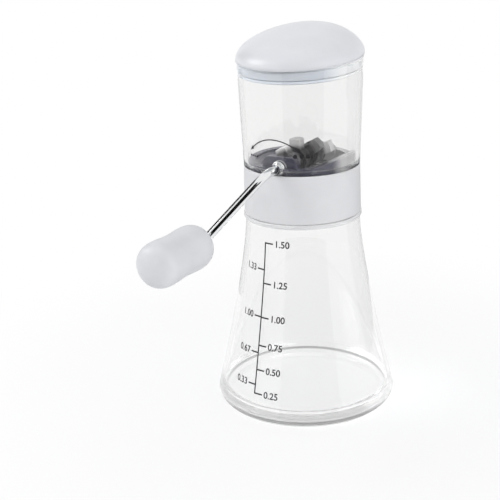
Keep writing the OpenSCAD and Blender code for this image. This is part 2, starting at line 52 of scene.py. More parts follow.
joints = {j["name"]: j for j in frame["joints"]}
jarHigh = np.array(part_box("jar")[1])
collarLow, collarHigh = (np.array(c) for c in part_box("collar"))
hopperLow, hopperHigh = (np.array(c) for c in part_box("hopper"))
gripLow, gripHigh = (np.array(c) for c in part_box("grip"))
rodLow, rodHigh = (np.array(c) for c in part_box("crank_rod"))
shaftPos = np.array(joints["crank_turn"]["pos_m"])
gripPos = np.array(joints["grip_spin"]["pos_m"])


# shapes as whole arrays

def gridFaces(rows, cols, closeRows=False, closeCols=True):
    # quads between neighbouring rows and columns of a grid of points
    i, j = np.meshgrid(np.arange(rows - (not closeRows)), np.arange(cols - (not closeCols)), indexing="ij")
    k, l = (i + 1) % rows, (j + 1) % cols
    return np.stack([i * cols + j, i * cols + l, k * cols + l, k * cols + j], -1).reshape(-1, 4)


def outward(points, faces):
    # six times the volume is the sum of p0 . (p1 x p2); a negative one means the faces look inwards
    tris = np.concatenate([f[:, [0, 1 + s, 2 + s]] for f in faces for s in range(f.shape[1] - 2)])
    a, b, c = (points[tris[:, s]] for s in range(3))
    if np.einsum("ij,ij->i", a, np.cross(b, c)).sum() < 0:
        faces = [f[:, ::-1] for f in faces]
    return points, faces


def sweepRings(rings):
    # closed skin through rings of equal length, with a fan to each end's middle
    rows, cols = rings.shape[:2]
    j = np.arange(cols)
    points = np.concatenate([rings.reshape(-1, 3), rings[[0, -1]].mean(1)])
    tip = rows * cols
    fans = [np.stack([(j + 1) % cols, j, np.full(cols, tip)], -1)]
    fans.append(np.stack([tip - cols + j, tip - cols + (j + 1) % cols, np.full(cols, tip + 1)], -1))
    return outward(points, [gridFaces(rows, cols), *fans])


def revolve(profile, segments=192):
    # profile of radius r and height z turned about Z: x = r sin t, y = -r cos t
    r, z = profile.T
    t = np.linspace(0, 2 * np.pi, segments, endpoint=False)
    rings = np.stack([np.outer(r, np.sin(t)), np.outer(r, -np.cos(t)), np.outer(z, np.ones(segments))], -1)
    if r[0] > 1e-9:  # a profile that runs back to its start has no poles
        return outward(rings.reshape(-1, 3), [gridFaces(len(r), segments, closeRows=True)])
    return sweepRings(rings[1:-1])


def rounded(corners, steps=6, closed=True):
    # corners (r, z, fillet): each corner is cut back by fillet / tan(half its angle) and joined by an arc
    p = np.array([c[:2] for c in corners], float)
    out = []
    for i, c in enumerate(corners):
        ends = not closed and i in (0, len(corners) - 1)
        if ends or c[2] == 0:
            out.append(p[i][None])
            continue
        u = p[i - 1] - p[i]
        v = p[(i + 1) % len(p)] - p[i]
        lu, lv = np.linalg.norm(u), np.linalg.norm(v)
        u, v = u / lu, v / lv
        half = math.acos(max(-1.0, min(1.0, float(u @ v)))) / 2
        cut = min(c[2] / math.tan(half), 0.49 * lu, 0.49 * lv)  # never past the middle of a side
        radius = cut * math.tan(half)
        middle = p[i] + (u + v) / np.linalg.norm(u + v) * radius / math.sin(half)
        a0 = math.atan2(*(p[i] + u * cut - middle)[::-1])
        a1 = math.atan2(*(p[i] + v * cut - middle)[::-1])
        turn = (a1 - a0 + np.pi) % (2 * np.pi) - np.pi
        a = a0 + turn * np.linspace(0, 1, steps + 1)
        out.append(middle + radius * np.stack([np.cos(a), np.sin(a)], -1))
    return np.concatenate(out)


def helixRidge(root, crest, start, lead, sweep, thick, count=4, steps=40, runOut=0.08, crestHalf=0.3):
    # trapezium from root to crest radius, carried up a helix: z = start + lead * turn
    t = np.linspace(0, sweep, steps)
    fade = np.clip(np.minimum(t, sweep - t) / (runOut * sweep), 0.02, 1)  # the crest sinks at both ends
    top = root + (crest - root) * fade
    shells = []
    for i in range(count):
        a = t + i * 2 * np.pi / count
        rise = start + lead * t / (2 * np.pi)
        section = ((root, -thick / 2), (top, -crestHalf * thick), (top, crestHalf * thick), (root, thick / 2))
        ring = [np.stack([r * np.cos(a), r * np.sin(a), rise + dz], -1) for r, dz in section]
        shells.append(sweepRings(np.stack(ring, 1)))
    return shells


def tube(path, side, radius, sides=48):
    # circle of the given radius carried along a flat path whose plane has the normal side
    tangent = np.gradient(path, axis=0)
    tangent /= np.linalg.norm(tangent, axis=1)[:, None]
    across = np.cross(tangent, side)
    a = np.linspace(0, 2 * np.pi, sides, endpoint=False)
    ring = np.cos(a)[None, :, None] * across[:, None] + np.sin(a)[None, :, None] * side
    return sweepRings(path[:, None] + np.asarray(radius)[:, None, None] * ring)


def prism(outline, levels, insets):
    # flat outline stacked at several levels, drawn in towards its middle by each level's inset
    reach = np.linalg.norm(outline, axis=1)
    rings = [np.c_[outline * (1 - inset / reach)[:, None], np.full(len(outline), level)]
             for level, inset in zip(levels, insets)]
    return sweepRings(np.stack(rings))


def joinShells(shells):
    start = np.cumsum([0] + [len(p) for p, f in shells])
    return np.concatenate([p for p, f in shells]), [b + s for (p, f), s in zip(shells, start) for b in f]


def smooth(mesh, crease):
    mesh.shade_smooth()
    mesh.set_sharp_from_angle(angle=math.radians(crease))


def toMesh(name, shell, crease):
    points, faces = shell
    mesh = bpy.data.meshes.new(name)
    mesh.from_pydata(points.tolist(), [], [f for block in faces for f in block.tolist()])
    smooth(mesh, crease)
    return mesh


def linked(name, data):
    made = bpy.data.objects.new(name, data)
    bpy.context.scene.collection.objects.link(made)
    return made


def addPiece(name, mesh, material, body, slot=None, stands=()):
    piece = linked(name, mesh)
    piece.data.materials.clear()
    piece.data.materials.append(material)
    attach(piece, body)
    if stands:
        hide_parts(*stands)
    return piece


def addShell(name, shell, crease, *rest):
    return addPiece(name, toMesh(name, shell, crease), *rest)


copySizes = dict(merge=2e-6, flat=1, crease=32, rounds=2)  # metres, degrees, degrees, segments


def finishedCopy(node, name, material, body, slot, bevel):
    # the solid's own triangles, merged and flattened to faces, with a small rounded edge
    s = copySizes
    mesh = frame["nodes"][node].data.copy()
    mesh.name = name
    bm = bmesh.new()
    bm.from_mesh(mesh)
    bmesh.ops.remove_doubles(bm, verts=bm.verts, dist=s["merge"])
    bmesh.ops.dissolve_limit(bm, angle_limit=math.radians(s["flat"]), verts=bm.verts, edges=bm.edges)
    bm.to_mesh(mesh)
    bm.free()
    smooth(mesh, s["crease"])
    piece = addPiece(name, mesh, material, body, slot, [node])
    edge = piece.modifiers.new("edge", "BEVEL")
    edge.width, edge.segments, edge.limit_method = bevel, s["rounds"], "ANGLE"
    edge.angle_limit = math.radians(s["crease"])
    edge.harden_normals = True


# shader expressions

class Wire:
    # one output socket; arithmetic on it adds Math nodes
    def __init__(self, tree, socket):
        self.tree, self.socket = tree, socket

    def node(self, kind, settings=None, values=None, output=0):
        made = self.tree.nodes.new(kind)
        for key, value in (settings or {}).items():
            if key == "stops":
                ramp = made.color_ramp.elements
                while len(ramp) < len(value):
                    ramp.new(0.5)
                for stop, (at, colour) in zip(ramp, value):
                    stop.position, stop.color = at, (*colour, 1)
            else:
                setattr(made, key, value)
        for key, value in (values or {}).items():
            if isinstance(value, Wire):
                self.tree.links.new(value.socket, made.inputs[key])
            else:
                made.inputs[key].default_value = value
        return Wire(self.tree, made.outputs[output]) if len(made.outputs) else made

    def maths(self, operation, a, b):
        return self.node("ShaderNodeMath", {"operation": operation}, {0: a, 1: b})

    def __add__(self, other):
        return self.maths("ADD", self, other)

    __radd__ = __add__

    def __sub__(self, other):
        return self.maths("SUBTRACT", self, other)

    def __rsub__(self, other):
        return self.maths("SUBTRACT", other, self)

    def __mul__(self, other):
        return self.maths("MULTIPLY", self, other)

    __rmul__ = __mul__


def newMaterial(name):
    material = bpy.data.materials.new(name)
    material.use_nodes = True
    material.node_tree.nodes.clear()
    return material, Wire(material.node_tree, None)


def place(w, scale=(1, 1, 1), shift=(0, 0, 0)):
    # Object coordinates in metres, stretched by scale and then shifted
    coords = w.node("ShaderNodeTexCoord", output="Object")
    return w.node("ShaderNodeMapping", None, {"Vector": coords, "Scale": scale, "Location": shift})


def noise(w, where, scale, detail=3, rough=0.55):
    return w.node("ShaderNodeTexNoise", None,
                  {"Vector": where, "Scale": scale, "Detail": detail, "Roughness": rough}, "Fac")


def tint(w, mask, low, high):
    return w.node("ShaderNodeValToRGB", {"stops": ((0.3, low), (0.7, high))}, {"Fac": mask})


def bump(w, height, strength, distance):
    return w.node("ShaderNodeBump", None, {"Height": height, "Strength": strength, "Distance": distance})


def step(w, value, start, end, low=0.0):
    # smooth step from low at start to 1 at end
    return w.node("ShaderNodeMapRange", {"interpolation_type": "SMOOTHSTEP"},
                  {"Value": value, "From Min": start, "From Max": end, "To Min": low})


def lengthOf(w, where):
    return w.node("ShaderNodeVectorMath", {"operation": "LENGTH"}, {0: where}, "Value")


def distanceAlong(w, where, heading):
    return w.node("ShaderNodeVectorMath", {"operation": "DOT_PRODUCT"}, {0: where, 1: heading}, "Value")


def principled(w, values):
    return w.node("ShaderNodeBsdfPrincipled", None, values)


def mixed(w, share, first, second):
    return w.node("ShaderNodeMixShader", None, {0: share, 1: first, 2: second})


def output(w, surface):
    w.node("ShaderNodeOutputMaterial", None, {"Surface": surface})


mouldSizes = dict(fine=2600, depth=0.12 * mm, sheen=0.10)  # grain's scale and depth, spread of roughness


def pastel(name, low, high, rough, grain):
    # moulded satin plastic: faint mottling, uneven sheen and a fine spark-eroded grain
    s = mouldSizes
    material, w = newMaterial(name)
    here = place(w)
    mottle = noise(w, here, 90)
    output(w, principled(w, {
        "Base Color": tint(w, mottle, low, high),
        "Roughness": rough + s["sheen"] * (noise(w, here, 260) - 0.5),
        "Normal": bump(w, noise(w, here, s["fine"], 2) + 0.6 * mottle, grain, s["depth"])}))
    return material


def paintedSideLight(name, dark, pale, rough, heading, start, end):
    # painted light: moulded plastic painted paler along a heading, between two distances from the middle, where
    # that side catches more light
    s = mouldSizes
    material, w = newMaterial(name)
    here = place(w)
    mottle = noise(w, here, 120)
    # share is painted light: 0 on the shaded side, 1 on the side painted lit
    share = step(w, distanceAlong(w, here, heading), start, end)
    output(w, principled(w, {
        "Base Color": tint(w, 0.28 + 0.42 * share + 0.05 * mottle, dark, pale),
        "Roughness": rough + s["sheen"] * (mottle - 0.5),
        "Normal": bump(w, noise(w, here, s["fine"], 2), 0.03, s["depth"])}))
    return material


clearSizes = dict(ior=1.49, rough=0.015, marks=0.035, wave=0.06, waveDepth=0.6 * mm,
                  shadow=(0.94, 0.95, 0.955, 1), dull=0.10, dullFade=3 * mm,
                  shadowLineTop=0.6 * mm, shadowLineFoot=1.1 * mm, shadowLineIn=45.5 * mm, shadowLineOut=46.3 * mm,
                  shadowLineTone=(0.26, 0.26, 0.26), milk=0.72, milkColour=(0.96, 0.96, 0.96, 1), milkRough=0.3,
                  milkFrom=0.7 * mm, milkTo=3.0 * mm, milkEnd=3.6 * mm)


def clearPlastic(name, colour, foot=-1.0, bead=1.0):
    # clear moulded plastic: bends light, lets lamps through, with slow waves and faint handling marks;
    # dull below the foot height with a painted contact shadow as a darker line round its lower edge, and milky
    # above the bead height
    s = clearSizes
    material, w = newMaterial(name)
    here = place(w)
    wave = noise(w, place(w, (1, 1, 0.45)), 55, 1)
    marks = noise(w, place(w, (1, 1, 3)), 900, 4) * noise(w, here, 140)
    level = distanceAlong(w, here, (0, 0, 1))
    reach = lengthOf(w, place(w, (1, 1, 0)))
    dull = step(w, level, foot + s["dullFade"], foot)
    # painted contact shadow: a darker line round the foot's lower outer edge
    line = step(w, level, foot - s["shadowLineTop"], foot - s["shadowLineFoot"]) * step(w, reach, s["shadowLineIn"], s["shadowLineOut"])
    milky = step(w, level, bead, bead + s["milkFrom"]) * step(w, level, bead + s["milkEnd"], bead + s["milkTo"])
    glass = principled(w, {
        "Base Color": tint(w, 0.7 - 0.4 * line, s["shadowLineTone"], colour),
        "Transmission Weight": 1.0, "IOR": s["ior"],
        "Roughness": s["rough"] + s["marks"] * marks + s["dull"] * dull,
        "Normal": bump(w, wave, s["wave"], s["waveDepth"])})
    milk = principled(w, {"Base Color": s["milkColour"], "Roughness": s["milkRough"]})
    through = w.node("ShaderNodeBsdfTransparent", None, {"Color": s["shadow"]})
    shade = w.node("ShaderNodeLightPath", output="Is Shadow Ray")
    output(w, mixed(w, shade, mixed(w, s["milk"] * milky, glass, milk), through))
    return material


def metal(name, low, high, rough, spread, grain, stretch, scale):
    # metal whose sheen varies along streaks; stretch is the streaks' direction and scale their fineness
    material, w = newMaterial(name)
    streak = noise(w, place(w, stretch), scale, 4)
    cloud = noise(w, place(w), 150)
    output(w, principled(w, {
        "Base Color": tint(w, streak * 0.6 + cloud * 0.4, low, high),
        "Metallic": 1.0,
        "Roughness": rough + spread * (streak - 0.5) + spread * 0.6 * (cloud - 0.5),
        "Normal": bump(w, streak, grain, 0.1 * mm)}))
    return material


# painted shade: radii between which a wheel turns from dark near the shaft to its own tone, and the dark colour
castSizes = dict(inShade=5.8 * mm, outOfShade=9.4 * mm, shadeColour=(0.016, 0.015, 0.017), depth=0.1 * mm)


def castMetal(name, tone):
    # as-cast wheel with painted shade: dark towards the shaft between the tines, fading to its own tone towards
    # the tips
    s = castSizes
    material, w = newMaterial(name)
    here = place(w)
    # painted shade mask: 0 near the shaft, 1 out at the tines
    outOfShade = step(w, lengthOf(w, place(w, (1, 0, 1), (0, 0, -shaftPos[2]))), s["inShade"], s["outOfShade"])
    sand = noise(w, here, 1100, 4)
    mask = 0.18 + 0.42 * outOfShade + 0.28 * noise(w, here, 300)
    output(w, principled(w, {
        "Base Color": tint(w, mask, s["shadeColour"], (tone, 0.985 * tone, 0.98 * tone)),
        "Metallic": 0.1, "Specular IOR Level": 0.2,
        "Roughness": 0.45 + 0.16 * (sand - 0.5),
        "Normal": bump(w, sand, 0.4, s["depth"])}))
    return material


def ink(name):
    # dull print that is a little thin in places
    material, w = newMaterial(name)
    thin = noise(w, place(w), 1500)
    output(w, principled(w, {
        "Base Color": tint(w, thin, (0.012, 0.012, 0.013), (0.035, 0.035, 0.037)),
        "Specular IOR Level": 0.15, "Roughness": 0.42 + 0.2 * thin}))
    return material


paintedLightHeading = (0.86, 0.51, 0), 0.008, 0.020  # painted light: the liner and its seal are painted paler to the right
clearJar = clearPlastic("clear jar", (0.952, 0.952, 0.951), 0.0055, 0.1003)
clearHopper = clearPlastic("clear hopper", (0.94, 0.94, 0.938))
paleCollar = pastel("pale collar", (0.715, 0.715, 0.725), (0.745, 0.745, 0.755), 0.40, 0.08)
paleLid = pastel("pale lid", (0.72, 0.727, 0.75), (0.75, 0.757, 0.78), 0.33, 0.05)
paleGrip = pastel("pale grip", (0.70, 0.705, 0.722), (0.735, 0.74, 0.757), 0.46, 0.16)
blueLiner = paintedSideLight("bluish liner", (0.72, 0.76, 0.82), (0.90, 0.905, 0.91), 0.35, *paintedLightHeading)
# painted reflection: the charcoal tray is painted pale grey towards its right, where its slope catches the
# bright surroundings
darkTray = paintedSideLight("charcoal tray", (0.018, 0.017, 0.042), (0.40, 0.395, 0.40), 0.26,
                   (1, 1, 0), 0.0090, 0.0190)
plainBush = pastel("bush plastic", (0.34, 0.345, 0.36), (0.40, 0.405, 0.42), 0.45, 0.10)
sealRubber = pastel("seal rubber", (0.60, 0.635, 0.69), (0.66, 0.695, 0.75), 0.58, 0.20)
lidRubber = paintedSideLight("lid seal rubber", (0.62, 0.655, 0.71), (0.84, 0.85, 0.86), 0.55, *paintedLightHeading)
chromeRod = metal("chrome", (0.80, 0.81, 0.82), (0.86, 0.865, 0.87), 0.07, 0.05, 0.02, (1, 0.05, 1), 900)
combSteel = metal("comb steel", (0.62, 0.63, 0.64), (0.74, 0.745, 0.75), 0.24, 0.20, 0.12, (0.06, 1, 1), 1400)
printInk = ink("print ink")
print("materials:", len(bpy.data.materials))


# jar

jarSizes = dict(topR=29.4 * mm, flare=1.3, straight=6 * mm, footRound=6 * mm, wall=2.2 * mm, floor=6 * mm,
                innerRound=5 * mm, beadTop=102.9 * mm, beadH=1.7 * mm, beadR=30.25 * mm, beadRound=0.5 * mm,
                neckR=25.4 * mm, neckWall=2.4 * mm, neckRound=0.6 * mm, shoulderRound=0.8 * mm,
                edge=0.35 * mm, rows=44, footRows=14, floorRows=12, crease=50)
threadSizes = dict(depth=1.2 * mm, root=0.5 * mm, start=3.4 * mm, lead=12 * mm, sweep=math.radians(96),
                   thick=1.2 * mm)
flareTop = jarSizes["beadTop"] - jarSizes["straight"]
footR, neckTop = jarHigh[0], jarHigh[2]


def jarRadius(z):
    # top radius plus the flare, which grows with a power of the depth below its top
    depth = np.clip((flareTop - z) / (flareTop - jarSizes["footRound"]), 0, None)
    return jarSizes["topR"] + (footR - jarSizes["topR"]) * depth ** jarSizes["flare"]


def jarBore(z):
    # bore: the outside less the wall, with a quarter circle into the floor
    s = jarSizes
    low = s["floor"] + s["innerRound"]
    corner = jarRadius(low) - s["wall"] - s["innerRound"]
    arc = corner + np.sqrt(np.clip(s["innerRound"] ** 2 - (low - z) ** 2, 0, None))
    return np.where(z < low, arc, jarRadius(z) - s["wall"])


def jarProfile():
    # up the outside by round foot, flare, bead and neck, then down the bore to the middle of the floor
    s = jarSizes
    a = np.linspace(-np.pi / 2, 0, s["footRows"])
    foot = np.c_[footR - s["footRound"] + s["footRound"] * np.cos(a), s["footRound"] * (1 + np.sin(a))]
    z = np.linspace(s["footRound"], flareTop, s["rows"])[1:]
    up = np.c_[jarRadius(z), z]
    beadTop, beadFoot, shoulder = s["beadTop"], s["beadTop"] - s["beadH"], s["beadTop"] - s["wall"]
    topIn, neckIn, b = s["topR"] - s["wall"], s["neckR"] - s["neckWall"], s["beadRound"]
    bead = rounded([(s["topR"], flareTop, 0), (s["topR"], beadFoot, b), (s["beadR"], beadFoot, b),
                    (s["beadR"], beadTop, b), (s["neckR"], beadTop, b), (s["neckR"], neckTop, s["edge"]),
                    (neckIn, neckTop, s["edge"]), (neckIn, shoulder, s["neckRound"]),
                    (topIn, shoulder, s["shoulderRound"]), (topIn, flareTop, 0)], closed=False)
    low = s["floor"] + s["innerRound"]
    turn = np.linspace(0, np.pi / 2, s["floorRows"])[1:]
    zIn = np.r_[np.linspace(flareTop, low, s["rows"])[1:], low - s["innerRound"] * np.sin(turn)]
    down = np.c_[jarBore(zIn), zIn]
    return np.concatenate([[[0, 0]], foot, up, bead[1:], down, [[0, s["floor"]]]])


def makeJar():
    s, t = jarSizes, threadSizes
    thread = helixRidge(s["neckR"] - t["root"], s["neckR"] + t["depth"], s["beadTop"] + t["start"],
                        t["lead"], t["sweep"], t["thick"])
    shell = joinShells([revolve(jarProfile()), *thread])
    addShell("jar_clear", shell, s["crease"], clearJar, "jar", "clear_plastic", ["jar"])
    print("jar: foot radius", round(footR / mm, 2))


makeJar()


# printed scale on the jar

scaleSizes = dict(azimuth=-9.9, lean=0.032, leanFrom=50 * mm, leanOver=45 * mm, line=0.72 * mm, tick=4.6 * mm,
                  film=0.04 * mm, gap=0.9 * mm, figure=4.7 * mm, bold=0.016, merge=1e-7, rows=80, tickRows=12,
                  crease=30,
                  # cups: height in mm
                  right={0.25: 16.2, 0.5: 28.2, 0.75: 40.5, 1.0: 54.7, 1.25: 72.0, 1.5: 92.5},
                  left={0.33: 20.5, 0.67: 36.7, 1.0: 54.9, 1.33: 78.8})


def onJar(flat, height):
    # flat x runs round the wall from the scale's leaning line, y up the wall and z out of it
    s = scaleSizes
    z = height + flat[:, 1]
    r = jarRadius(z) + flat[:, 2]
    t = math.radians(s["azimuth"]) - s["lean"] * (z - s["leanFrom"]) / s["leanOver"] + flat[:, 0] / r
    return np.stack([r * np.sin(t), -r * np.cos(t), z], -1)


def flatRibbon(path, width, film):
    # strip of a given width along a flat path, as a four-sided skin with a thin film's depth
    tangent = np.gradient(path, axis=0)
    tangent /= np.linalg.norm(tangent, axis=1)[:, None]
    across = np.stack([-tangent[:, 1], tangent[:, 0]], -1) * np.reshape(width, (-1, 1)) / 2
    low, high = np.zeros((len(path), 1)), np.full((len(path), 1), film)
    ring = [np.c_[path - across, low], np.c_[path + across, low],
            np.c_[path + across, high], np.c_[path - across, high]]
    return sweepRings(np.stack(ring, 1))


def figures(text, size, film, align):
    # outline figures as a thin solid in the flat, x along the line and y up
    curve = bpy.data.curves.new("figures", "FONT")
    curve.body, curve.size, curve.extrude = text, size, film / 2
    curve.align_x, curve.align_y, curve.offset = align, "CENTER", scaleSizes["bold"] * size
    holder = linked("figures", curve)
    graph = bpy.context.evaluated_depsgraph_get()
    mesh = bpy.data.meshes.new_from_object(holder.evaluated_get(graph))
    bm = bmesh.new()
    bm.from_mesh(mesh)
    bmesh.ops.remove_doubles(bm, verts=bm.verts, dist=scaleSizes["merge"])
    bmesh.ops.triangulate(bm, faces=bm.faces)
    points = np.array([v.co for v in bm.verts]) + [0, 0, film / 2]
    faces = np.array([[v.index for v in f.verts] for f in bm.faces])
    bm.free()
    bpy.data.objects.remove(holder)
    bpy.data.meshes.remove(mesh)
    return outward(points, [faces])


def printScale():
    # one line up the wall, and a tick and its figures at each height, to the right or to the left
    s = scaleSizes
    half = s["line"] / 2
    rights, lefts = (np.array(list(s[side].values())) * mm for side in ("right", "left"))
    run = np.c_[np.zeros(s["rows"]), np.linspace(rights[0] - half, rights[-1] + half, s["rows"])]
    line, faces = flatRibbon(run, s["line"], s["film"])
    shells, numbers = [(onJar(line, 0.0), faces)], []
    for values, heights, way, align in ((s["right"], rights, 1, "LEFT"), (s["left"], lefts, -1, "RIGHT")):
        path = np.c_[way * np.linspace(0, s["tick"], s["tickRows"]), np.zeros(s["tickRows"])]
        for value, height in zip(values, heights):
            tick, faces = flatRibbon(path, s["line"], s["film"])
            shells.append((onJar(tick, height), faces))
            flat, faces = figures(f"{value:.2f}", s["figure"], s["film"], align)
            numbers.append((onJar(flat + [way * (s["tick"] + s["gap"]), 0, 0], height), faces))
    addShell("jar_scale", joinShells(shells), s["crease"], printInk, "jar")
    addShell("jar_figures", joinShells(numbers), s["crease"], printInk, "jar")
    print("scale:", [round(h / mm, 1) for h in rights])


printScale()


# hopper

hopperSizes = dict(footR=29.4 * mm, topR=31.3 * mm, wall=2 * mm, step=2 * mm, spigotR=27.35 * mm,
                   spigotIn=25.15 * mm, lipIn=22.75 * mm, lip=1.8 * mm, slant=math.tan(math.radians(4.6)),
                   bend=150 * mm, rimRound=0.8 * mm, hole=2.6 * mm, holeFrom=-60 * mm, holeTo=-19.6 * mm,
                   seat=0.1 * mm, footGap=1 * mm, rimGap=2 * mm, lowTo=136 * mm, lowRows=14,
                   highFrom=138 * mm, highRows=24, sides=240, crease=45)
hopperZ = collarHigh[2] + hopperSizes["seat"]
hopperTopR = hopperSizes["topR"]
rimZ = hopperHigh[2] - hopperTopR * hopperSizes["slant"]


def hopperRadius(z):
    # straight taper from the foot to the rim
    return hopperSizes["footR"] + (hopperTopR - hopperSizes["footR"]) * (z - hopperZ) / (rimZ - hopperZ)


def slanted(points):
    # rim plane low at the crank side: z grows with slant * y, faded in above the bend height
    share = np.clip((points[:, 2] - hopperSizes["bend"]) / (rimZ - hopperSizes["bend"]), 0, 1)
    return points + np.c_[np.zeros((len(points), 2)), hopperSizes["slant"] * points[:, 1] * share]


def hopperProfile():
    # spigot and lip below the seat, taper up the outside, round rim, and down the inside to the ledge
    s = hopperSizes
    foot, lip, ledge = hopperLow[2], hopperLow[2] + s["lip"], hopperZ + s["step"]
    zs = np.r_[np.linspace(hopperZ + s["footGap"], s["lowTo"], s["lowRows"]),
               np.linspace(s["highFrom"], rimZ - s["rimGap"], s["highRows"])]
    corners = [(s["lipIn"], foot, 0.3 * mm), (s["spigotR"], foot, 0.4 * mm),
               (s["spigotR"], hopperZ, 0.3 * mm), (s["footR"], hopperZ, 0.4 * mm)]
    corners += [(hopperRadius(z), z, 0) for z in zs]
    corners += [(hopperTopR, rimZ, s["rimRound"]), (hopperTopR - s["wall"], rimZ, s["rimRound"])]
    corners += [(hopperRadius(z) - s["wall"], z, 0) for z in zs[::-1] if z > ledge + 0.8 * mm]
    corners += [(hopperRadius(ledge) - s["wall"], ledge, 0.6 * mm), (s["spigotIn"], ledge, 0.4 * mm),
                (s["spigotIn"], lip, 0.3 * mm), (s["lipIn"], lip, 0.3 * mm)]
    return rounded(corners)


def makeHopper():
    # the turned and slanted profile, less a round hole for the shaft through its front
    s = hopperSizes
    points, faces = revolve(hopperProfile(), s["sides"])
    body = linked("hopper_clear", toMesh("hopper_clear", (slanted(points), faces), s["crease"]))
    path = np.c_[np.zeros(2), [s["holeFrom"], s["holeTo"]], np.full(2, shaftPos[2])]
    cutter = linked("hole", toMesh("hole", tube(path, np.array([1.0, 0, 0]), [s["hole"]] * 2, 64), 30))
    cut = body.modifiers.new("hole", "BOOLEAN")
    cut.operation, cut.solver, cut.object = "DIFFERENCE", "EXACT", cutter
    drilled = bpy.data.meshes.new_from_object(body.evaluated_get(bpy.context.evaluated_depsgraph_get()))
    drilled.name = "hopper_clear"
    smooth(drilled, s["crease"])
    for scrap in (body, cutter):
        bpy.data.objects.remove(scrap)
    addPiece("hopper_clear", drilled, clearHopper, "head", "clear_plastic", ["hopper"])
    print("hopper: rim at", round(rimZ / mm, 2))


makeHopper()


# two-way arrow on the hopper, with small and large dots at its ends

arrowSizes = dict(half=25.0, top=145.5 * mm, drop=5.3 * mm, line=0.55 * mm, head=2.6 * mm, headWide=1.9 * mm,
                  headBack=0.25, headRows=8, tip=0.03, film=0.04 * mm, rows=80, dotSides=24, dotPitch=3,
                  # degrees round, height, radius, count
                  small=(-23.5, 136.2 * mm, 0.55 * mm, 4), large=(27.5, 137.7 * mm, 1.05 * mm, 3))


def onHopper(flat):
    # flat x runs round the wall from the crank side, y is the height and z runs out of the wall
    r = hopperRadius(flat[:, 1]) + flat[:, 2]
    t = flat[:, 0] / hopperRadius(arrowSizes["top"])
    return np.stack([r * np.sin(t), -r * np.cos(t), flat[:, 1]], -1)


def printArrow():
    # arc: height = top less drop times the square of the share of its half width
    s = arrowSizes
    wallR = hopperRadius(s["top"])
    reach = math.radians(s["half"]) * wallR
    x = np.linspace(-reach, reach, s["rows"])
    arc = np.c_[x, s["top"] - s["drop"] * (x / reach) ** 2]
    shells = [flatRibbon(arc, s["line"], s["film"])]
    back = s["headBack"]
    run = np.linspace(-back, 1, s["headRows"])
    taper = np.clip(1 - (run + back) / (1 + back), s["tip"], 1)
    for end, inner in ((0, 6), (-1, -7)):  # a head at each end, along the arc's own direction
        way = arc[end] - arc[inner]
        way /= np.linalg.norm(way)
        path = arc[end] + np.outer(run * s["head"], way)
        shells.append(flatRibbon(path, s["headWide"] * taper, s["film"]))
    n = s["dotSides"]
    a = np.linspace(0, 2 * np.pi, n, endpoint=False)
    for at, level, size, count in (s["small"], s["large"]):
        for k in range(count):
            middle = math.radians(at) * wallR + (k - (count - 1) / 2) * s["dotPitch"] * size
            ring = np.c_[middle + size * np.cos(a), level + size * np.sin(a)]
            shells.append(sweepRings(np.stack([np.c_[ring, np.zeros(n)], np.c_[ring, np.full(n, s["film"])]])))
    wrapped = [(onHopper(p), f) for p, f in shells]
    addShell("hopper_arrow", joinShells(wrapped), 30, printInk, "head")
    print("arrow: half width", round(reach / mm, 1))


printArrow()


# collar

collarSizes = dict(inR=27.5 * mm, topR=29.5 * mm, topRound=0.9 * mm, footRound=0.6 * mm, threadGap=0.9 * mm,
                   crease=40)


def makeCollar():
    # tapered ring with rounded edges, and inside it ridges that lie half a pitch below the jar's
    s, t = collarSizes, threadSizes
    low, high = collarLow[2], collarHigh[2]
    wall = [(s["inR"], low, 0.4 * mm), (collarHigh[0], low, s["footRound"]),
            (s["topR"], high, s["topRound"]), (s["inR"], high, 0.3 * mm)]
    start = jarSizes["beadTop"] + t["start"] - t["lead"] / 8
    ridges = helixRidge(s["inR"] + t["root"], s["inR"] - s["threadGap"] - t["depth"] / 2, start,
                        t["lead"], t["sweep"], t["thick"])
    shell = joinShells([revolve(rounded(wall, 8)), *ridges])
    addShell("collar_pale", shell, s["crease"], paleCollar, "head", "pale_plastic", ["collar"])
    print("collar: height", round((high - low) / mm, 2))


makeCollar()


# lid

lidSizes = dict(outR=31.8 * mm, high=13.7 * mm, lean=7.8 * mm, edge=1 * mm, wall=2.3 * mm, roll=0.5 * mm,
                seat=0.1 * mm, crownPower=0.92, leanPower=3.8, risePower=1.05, sides=160, rows=40, rollRows=8,
                crease=60)


def domeRings(outR, high, lean, angles, around):
    # oval cap whose middle drifts back with height, standing on the slanted rim plane
    s = lidSizes
    q = np.sin(angles)[:, None]
    c = outR * np.cos(angles)[:, None] ** s["crownPower"]
    y = c * np.sin(around) + lean * q ** s["leanPower"]
    return np.stack([c * np.cos(around), y, high * q ** s["risePower"] + hopperSizes["slant"] * y], -1)


